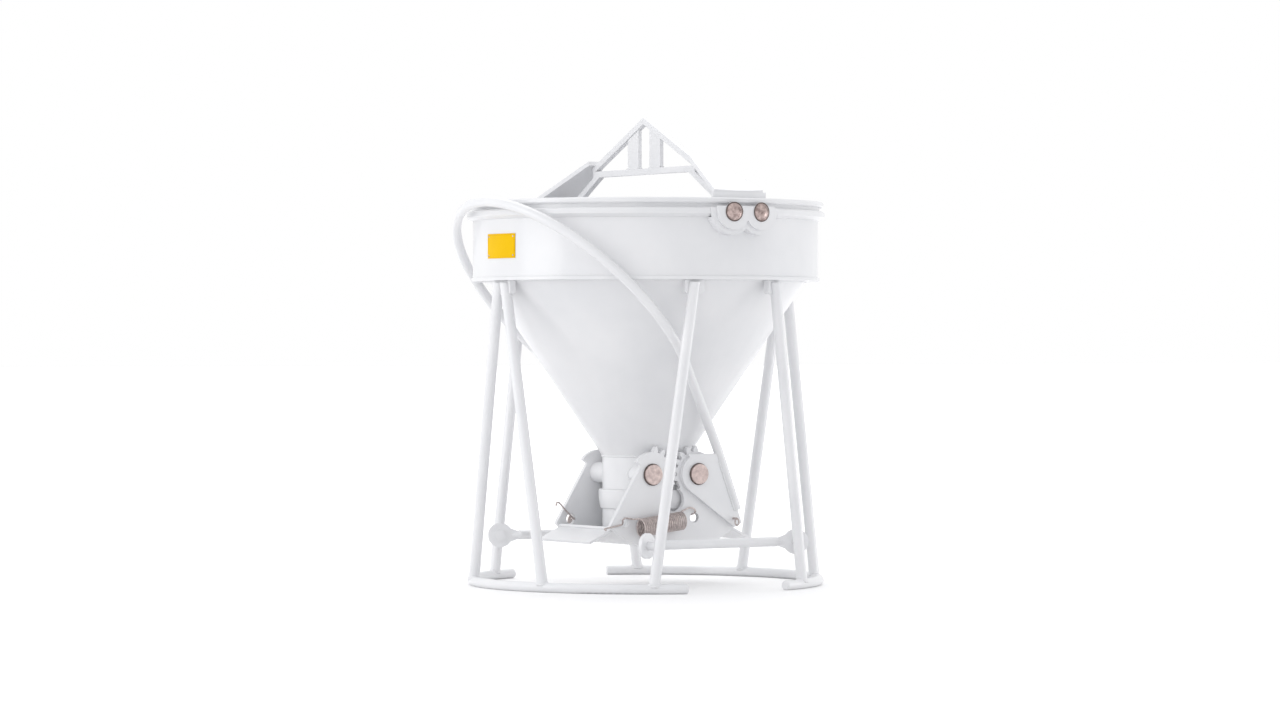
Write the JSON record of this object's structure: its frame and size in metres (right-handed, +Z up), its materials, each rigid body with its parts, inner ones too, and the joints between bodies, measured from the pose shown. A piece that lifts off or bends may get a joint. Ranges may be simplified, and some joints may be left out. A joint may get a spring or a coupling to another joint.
{
  "type": "concrete bucket",
  "caption": "Lifting bucket for fresh concrete: conical hopper on splayed legs, crane bail, lever hoop and a spring-closed clamshell gate with geared jaws.",
  "frame": {"origin": "on the floor under the bucket's axis, the centre of the foot rails' ring", "axes": "+Z up along the bucket's axis, the gate's pivots along Y, the jaws open along X, -Y is the front"},
  "size_m": [1.6708, 1.685, 2.099],
  "materials": {
    "white_paint": "glossy white enamel",
    "copper": "dull coppery metal",
    "spring_steel": "oiled brown spring wire",
    "data_plate": "yellow enamel"
  },
  "bodies": {
    "root": {"band": "white_paint", "rim": "white_paint", "base_ring": "white_paint", "cone": "white_paint", "throat": "white_paint", "throat_collar": "white_paint", "rail_left": "white_paint", "rail_right": "white_paint", "leg_front_left": "white_paint", "leg_front_right": "white_paint", "leg_rear_left": "white_paint", "leg_rear_right": "white_paint", "leg_left_front": "white_paint", "leg_left_rear": "white_paint", "leg_right_front": "white_paint", "leg_right_rear": "white_paint", "leg_sockets": "white_paint", "brace_front": "white_paint", "brace_rear": "white_paint", "brace_studs": "white_paint", "left_trunnions": "white_paint", "right_trunnions": "white_paint", "left_pivot_pins": "copper", "right_pivot_pins": "copper", "spring_front": "spring_steel", "spring_rear": "spring_steel", "bail_frame": "white_paint", "bail_hook_plates": "white_paint", "bail_foot_front": "white_paint", "bail_foot_rear": "white_paint", "lug_backing_front": "white_paint", "lug_backing_rear": "white_paint", "lug_plate_front": "white_paint", "lug_plate_rear": "white_paint", "lug_rivets": "copper", "data_plate": "data_plate"},
    "right_jaw": {"right_jaw_front_plate": "white_paint", "right_jaw_rear_plate": "white_paint", "right_jaw_shell": "white_paint", "lever_plate_front": "white_paint", "lever_plate_rear": "white_paint", "lever_hoop": "white_paint", "clip_pins": "spring_steel"},
    "left_jaw": {"left_jaw_front_plate": "white_paint", "left_jaw_rear_plate": "white_paint", "left_jaw_shell": "white_paint"}
  },
  "joints": [
    {"name": "lever_swing", "type": "hinge", "parent": "root", "child": "right_jaw", "pos_m": [0.115, 0, 0.5], "axis": [0, -1, 0], "range_deg": [0, 40], "stiffness_Nm_per_rad": 120, "springref_deg": -68.75, "deforming": ["spring_front", "spring_rear"]},
    {"name": "left_jaw_swing", "type": "hinge", "parent": "root", "child": "left_jaw", "pos_m": [-0.115, 0, 0.5], "axis": [0, 1, 0], "range_deg": [0, 40], "deforming": ["spring_front", "spring_rear"]}
  ],
  "couplings": [
    {"joint": "left_jaw_swing", "follows": "lever_swing", "ratio": 1}
  ]
}
